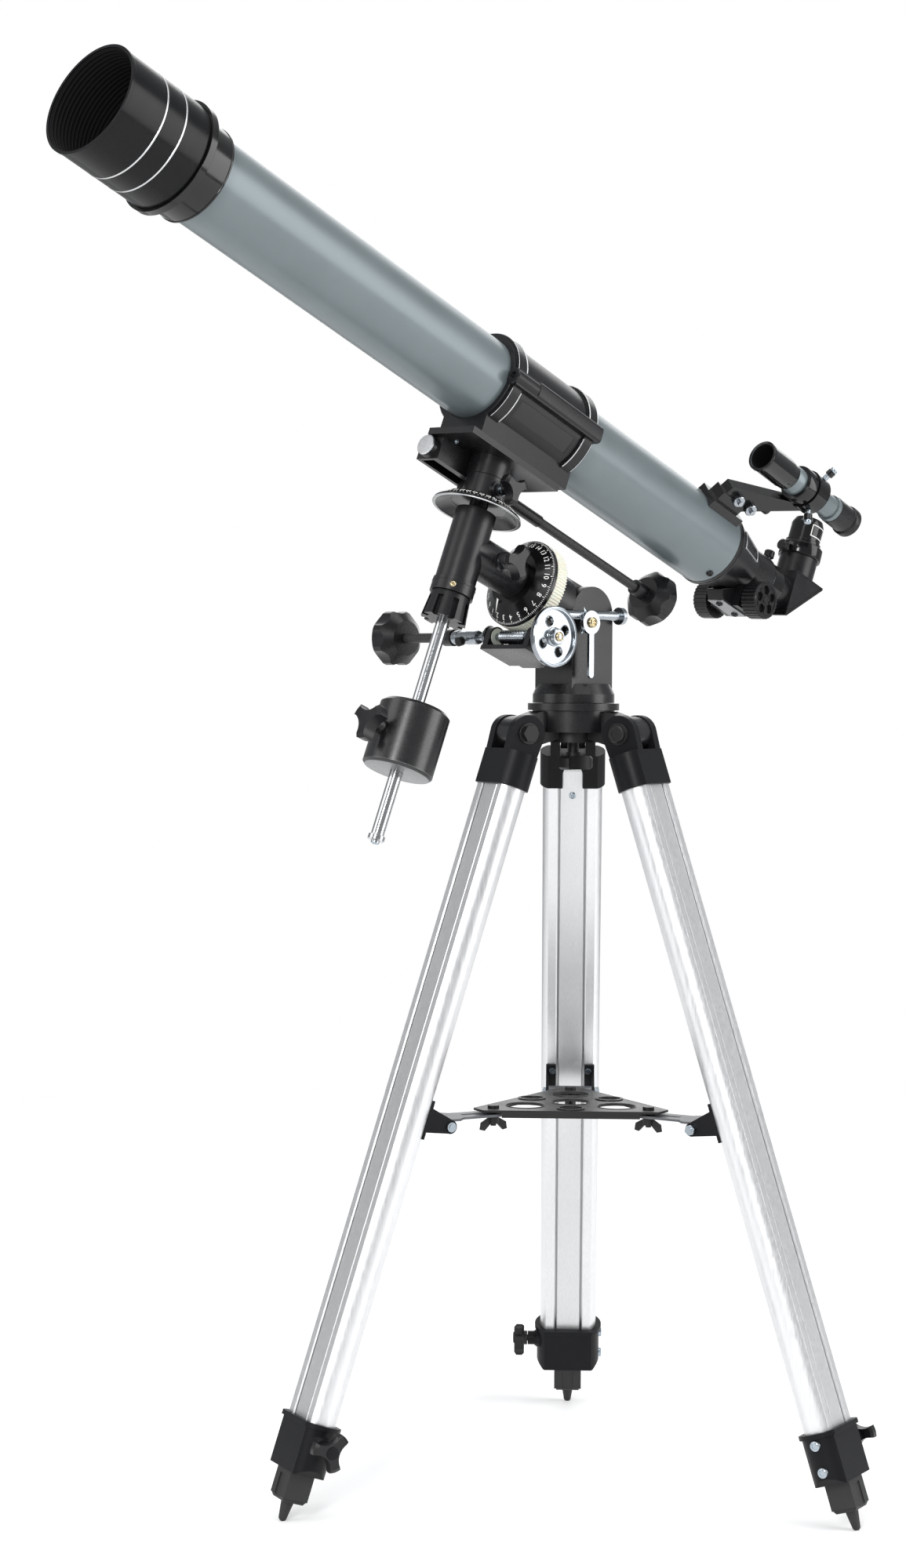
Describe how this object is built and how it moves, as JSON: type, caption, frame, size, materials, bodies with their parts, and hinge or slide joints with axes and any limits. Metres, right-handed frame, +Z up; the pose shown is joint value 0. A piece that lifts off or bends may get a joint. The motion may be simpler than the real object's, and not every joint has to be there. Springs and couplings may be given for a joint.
{
  "type": "telescope on tripod",
  "caption": "Small refracting telescope on an equatorial mount with counterweight, slow-motion controls and a folding aluminium tripod with a tray.",
  "frame": {"origin": "on the floor, in the middle of the whole outline seen from above", "axes": "+Z up; the rear tripod leg points along +Y; the telescope points up towards -X and -Y"},
  "size_m": [0.6646, 0.7176, 1.1729],
  "materials": {
    "black_casting": "satin black paint over die-cast alloy",
    "black_plastic": "moulded black plastic",
    "foot_rubber": "hard black rubber",
    "rail_aluminium": "satin anodised",
    "slider_aluminium": "satin anodised, greyer",
    "zinc": "bright zinc",
    "bright_steel": "bright plate",
    "black_steel": "black paint",
    "strap_steel": "grey paint",
    "dial_black": "black with white marks",
    "wheel_plastic": "off-white nylon",
    "counterweight_iron": "satin black paint, machined end",
    "tube_paint": "smooth blue-grey paint",
    "gloss_black": "gloss black",
    "lens_glass": "coated"
  },
  "bodies": {
    "tripod_head": {"tripod_hub": "black_casting", "hub_bolts": "black_steel"},
    "rear_leg": {"rear_leg_rails": "rail_aluminium", "rear_leg_brackets": "black_plastic", "rear_leg_collar": "black_plastic", "rear_leg_screws": "zinc"},
    "rear_leg_extension": {"rear_leg_slider": "slider_aluminium", "rear_leg_foot": "foot_rubber"},
    "rear_leg_knob": {"rear_leg_knob": "black_plastic"},
    "rear_tray_arm": {"rear_tray_arm": "strap_steel"},
    "left_leg": {"left_leg_rails": "rail_aluminium", "left_leg_brackets": "black_plastic", "left_leg_collar": "black_plastic", "left_leg_screws": "zinc"},
    "left_leg_extension": {"left_leg_slider": "slider_aluminium", "left_leg_foot": "foot_rubber"},
    "left_leg_knob": {"left_leg_knob": "black_plastic"},
    "left_tray_arm": {"left_tray_arm": "strap_steel"},
    "right_leg": {"right_leg_rails": "rail_aluminium", "right_leg_brackets": "black_plastic", "right_leg_collar": "black_plastic", "right_leg_screws": "zinc"},
    "right_leg_extension": {"right_leg_slider": "slider_aluminium", "right_leg_foot": "foot_rubber"},
    "right_leg_knob": {"right_leg_knob": "black_plastic"},
    "right_tray_arm": {"right_tray_arm": "strap_steel"},
    "tray": {"tray_plate": "black_steel", "tray_bolts": "black_steel"},
    "azimuth_base": {"mount_base": "black_casting"},
    "latitude_lever": {"latitude_lever": "bright_steel"},
    "latitude_screw": {"latitude_screw": "bright_steel"},
    "polar_head": {"polar_head": "black_casting"},
    "worm": {"worm_shaft": "bright_steel", "ra_slow_knob": "black_plastic"},
    "worm_wheel": {"worm_wheel": "wheel_plastic"},
    "polar_axis": {"ra_housing": "black_casting"},
    "ra_circle": {"ra_circle": "dial_black"},
    "ra_clutch_knob": {"ra_clutch_knob": "black_plastic"},
    "declination_axis": {"dec_neck": "black_casting", "shaft_nut": "black_plastic", "counterweight_shaft": "bright_steel"},
    "dec_circle": {"dec_circle": "dial_black"},
    "dec_clutch_knob": {"dec_clutch_knob": "black_plastic"},
    "saddle": {"saddle_head": "black_casting", "cradle_lower": "black_plastic"},
    "dec_slow_knob": {"dec_slow_knob": "black_plastic"},
    "counterweight": {"counterweight": "counterweight_iron"},
    "counterweight_knob": {"counterweight_knob": "black_plastic"},
    "cradle_upper": {"cradle_upper": "black_plastic"},
    "telescope": {"main_tube": "tube_paint", "lens_cell": "gloss_black", "objective_lens": "lens_glass", "focuser_body": "black_plastic", "finder_bracket": "black_plastic", "finder_scope": "tube_paint"},
    "dew_shield": {"dew_shield": "gloss_black"},
    "drawtube": {"drawtube": "bright_steel"},
    "focus_knobs": {"focus_knobs": "black_plastic"},
    "diagonal": {"diagonal": "black_plastic"},
    "eyepiece": {"eyepiece": "black_plastic"}
  },
  "joints": [
    {"name": "rear_leg_fold", "type": "hinge", "parent": "tripod_head", "child": "rear_leg", "pos_m": [0.06382, 0.13285, 0.66], "axis": [1, 0, 0], "range_deg": [-4.5, 0]},
    {"name": "rear_leg_extend", "type": "slide", "parent": "rear_leg", "child": "rear_leg_extension", "axis": [0, 0.3182, -0.948], "range_m": [0, 0.4]},
    {"name": "rear_leg_knob_turn", "type": "hinge", "parent": "rear_leg", "child": "rear_leg_knob", "pos_m": [0.06382, 0.33202, 0.06653], "axis": [-1, 0, 0], "range_deg": [0, 360]},
    {"name": "rear_tray_arm_fold", "type": "hinge", "parent": "rear_leg", "child": "rear_tray_arm", "pos_m": [0.06382, 0.20785, 0.325], "axis": [1, 0, 0], "range_deg": [0, 4.5]},
    {"name": "left_leg_fold", "type": "hinge", "parent": "tripod_head", "child": "left_leg", "pos_m": [0.01532, 0.04885, 0.66], "axis": [-0.5, 0.866, 0], "range_deg": [-4.5, 0]},
    {"name": "left_leg_extend", "type": "slide", "parent": "left_leg", "child": "left_leg_extension", "axis": [-0.2755, -0.1591, -0.948], "range_m": [0, 0.4]},
    {"name": "left_leg_knob_turn", "type": "hinge", "parent": "left_leg", "child": "left_leg_knob", "pos_m": [-0.15717, -0.05074, 0.06653], "axis": [0.5, -0.866, 0], "range_deg": [0, 360]},
    {"name": "left_tray_arm_fold", "type": "hinge", "parent": "left_leg", "child": "left_tray_arm", "pos_m": [-0.04963, 0.01135, 0.325], "axis": [-0.5, 0.866, 0], "range_deg": [0, 4.5]},
    {"name": "right_leg_fold", "type": "hinge", "parent": "tripod_head", "child": "right_leg", "pos_m": [0.11232, 0.04885, 0.66], "axis": [-0.5, -0.866, 0], "range_deg": [-4.5, 0]},
    {"name": "right_leg_extend", "type": "slide", "parent": "right_leg", "child": "right_leg_extension", "axis": [0.2755, -0.1591, -0.948], "range_m": [0, 0.4]},
    {"name": "right_leg_knob_turn", "type": "hinge", "parent": "right_leg", "child": "right_leg_knob", "pos_m": [0.28481, -0.05074, 0.06653], "axis": [0.5, 0.866, 0], "range_deg": [0, 360]},
    {"name": "right_tray_arm_fold", "type": "hinge", "parent": "right_leg", "child": "right_tray_arm", "pos_m": [0.17727, 0.01135, 0.325], "axis": [-0.5, -0.866, 0], "range_deg": [0, 4.5]},
    {"name": "tray_drop", "type": "slide", "parent": "tripod_head", "child": "tray", "axis": [0, 0, 1], "range_m": [-0.006, 0]},
    {"name": "azimuth_turn", "type": "hinge", "parent": "tripod_head", "child": "azimuth_base", "pos_m": [0.06382, 0.07685, 0.686], "axis": [0, 0, 1], "continuous": true},
    {"name": "latitude_lever_turn", "type": "hinge", "parent": "azimuth_base", "child": "latitude_lever", "pos_m": [0.07726, 0.04418, 0.756], "axis": [0.7071, -0.7071, 0], "range_deg": [-60, 60]},
    {"name": "latitude_screw_turn", "type": "hinge", "parent": "azimuth_base", "child": "latitude_screw", "pos_m": [0.08334, 0.05733, 0.7623], "axis": [-0.7071, -0.7071, 0], "continuous": true},
    {"name": "latitude_tilt", "type": "hinge", "parent": "azimuth_base", "child": "polar_head", "pos_m": [0.06382, 0.07685, 0.7625], "axis": [-0.7071, 0.7071, 0], "range_deg": [-4, 30]},
    {"name": "worm_turn", "type": "hinge", "parent": "polar_head", "child": "worm", "pos_m": [0.01116, 0.02419, 0.74278], "axis": [0.7071, -0.7071, 0], "continuous": true},
    {"name": "ra_slow_turn", "type": "hinge", "parent": "polar_head", "child": "worm_wheel", "pos_m": [-0.02882, -0.01579, 0.81596], "axis": [-0.6547, -0.6547, 0.3778], "range_deg": [-10, 10]},
    {"name": "ra_turn", "type": "hinge", "parent": "worm_wheel", "child": "polar_axis", "pos_m": [-0.02882, -0.01579, 0.81596], "axis": [-0.6547, -0.6547, 0.3778], "range_deg": [-65, 55]},
    {"name": "ra_circle_turn", "type": "hinge", "parent": "polar_axis", "child": "ra_circle", "pos_m": [-0.02882, -0.01579, 0.81596], "axis": [-0.6547, -0.6547, 0.3778], "continuous": true},
    {"name": "ra_clutch_turn", "type": "hinge", "parent": "polar_axis", "child": "ra_clutch_knob", "pos_m": [-0.01049, 0.00254, 0.80539], "axis": [0.7071, -0.7071, 0], "range_deg": [0, 270]},
    {"name": "dec_turn", "type": "hinge", "parent": "polar_axis", "child": "declination_axis", "pos_m": [-0.02882, -0.01579, 0.81596], "axis": [0.2672, 0.2672, 0.9259], "continuous": true},
    {"name": "dec_circle_turn", "type": "hinge", "parent": "declination_axis", "child": "dec_circle", "pos_m": [-0.02882, -0.01579, 0.81596], "axis": [0.2672, 0.2672, 0.9259], "continuous": true},
    {"name": "dec_clutch_turn", "type": "hinge", "parent": "declination_axis", "child": "dec_clutch_knob", "pos_m": [-0.01434, -0.00131, 0.86615], "axis": [0.7071, -0.7071, 0], "range_deg": [0, 270]},
    {"name": "dec_slow_turn", "type": "hinge", "parent": "declination_axis", "child": "saddle", "pos_m": [-0.02882, -0.01579, 0.81596], "axis": [0.2672, 0.2672, 0.9259], "range_deg": [-4, 4]},
    {"name": "dec_slow_knob_turn", "type": "hinge", "parent": "saddle", "child": "dec_slow_knob", "pos_m": [-0.02775, 0.01916, 0.88226], "axis": [0.6103, 0.6966, -0.3771], "continuous": true},
    {"name": "counterweight_slide", "type": "slide", "parent": "declination_axis", "child": "counterweight", "axis": [-0.2672, -0.2672, -0.9259], "range_m": [-0.07, 0.05]},
    {"name": "counterweight_knob_turn", "type": "hinge", "parent": "counterweight", "child": "counterweight_knob", "pos_m": [-0.07504, -0.06201, 0.65579], "axis": [-0.6547, -0.6547, 0.3778], "range_deg": [0, 270]},
    {"name": "cradle_open", "type": "hinge", "parent": "saddle", "child": "cradle_upper", "pos_m": [-0.02652, 0.05144, 0.94387], "axis": [-0.6103, -0.6966, 0.3771], "range_deg": [0, 100]},
    {"name": "tube_slide", "type": "slide", "parent": "saddle", "child": "telescope", "axis": [-0.6103, -0.6966, 0.3771], "range_m": [-0.1, 0.04]},
    {"name": "dew_shield_pull", "type": "slide", "parent": "telescope", "child": "dew_shield", "axis": [-0.6103, -0.6966, 0.3771], "range_m": [0, 0.08]},
    {"name": "focus_travel", "type": "slide", "parent": "telescope", "child": "drawtube", "axis": [0.6103, 0.6966, -0.3771], "range_m": [-0.002, 0.085]},
    {"name": "focus_knobs_turn", "type": "hinge", "parent": "telescope", "child": "focus_knobs", "pos_m": [0.21496, 0.25843, 0.78205], "axis": [0.7458, -0.6658, -0.0231], "continuous": true},
    {"name": "diagonal_turn", "type": "hinge", "parent": "drawtube", "child": "diagonal", "pos_m": [0.26777, 0.31758, 0.78215], "axis": [-0.6103, -0.6966, 0.3771], "continuous": true},
    {"name": "eyepiece_pull", "type": "slide", "parent": "diagonal", "child": "eyepiece", "axis": [0.2672, 0.2672, 0.9259], "range_m": [0, 0.03]}
  ],
  "couplings": [
    {"joint": "rear_tray_arm_fold", "follows": "rear_leg_fold", "ratio": -1},
    {"joint": "left_leg_fold", "follows": "rear_leg_fold", "ratio": 1},
    {"joint": "left_tray_arm_fold", "follows": "rear_leg_fold", "ratio": -1},
    {"joint": "right_leg_fold", "follows": "rear_leg_fold", "ratio": 1},
    {"joint": "right_tray_arm_fold", "follows": "rear_leg_fold", "ratio": -1},
    {"joint": "tray_drop", "follows": "rear_leg_fold", "m_per_rad": 0.0616},
    {"joint": "latitude_screw_turn", "follows": "latitude_tilt", "ratio": 60},
    {"joint": "worm_turn", "follows": "ra_slow_turn", "ratio": 90},
    {"joint": "dec_slow_knob_turn", "follows": "dec_slow_turn", "ratio": 150},
    {"joint": "focus_knobs_turn", "follows": "focus_travel", "rad_per_m": -137}
  ]
}
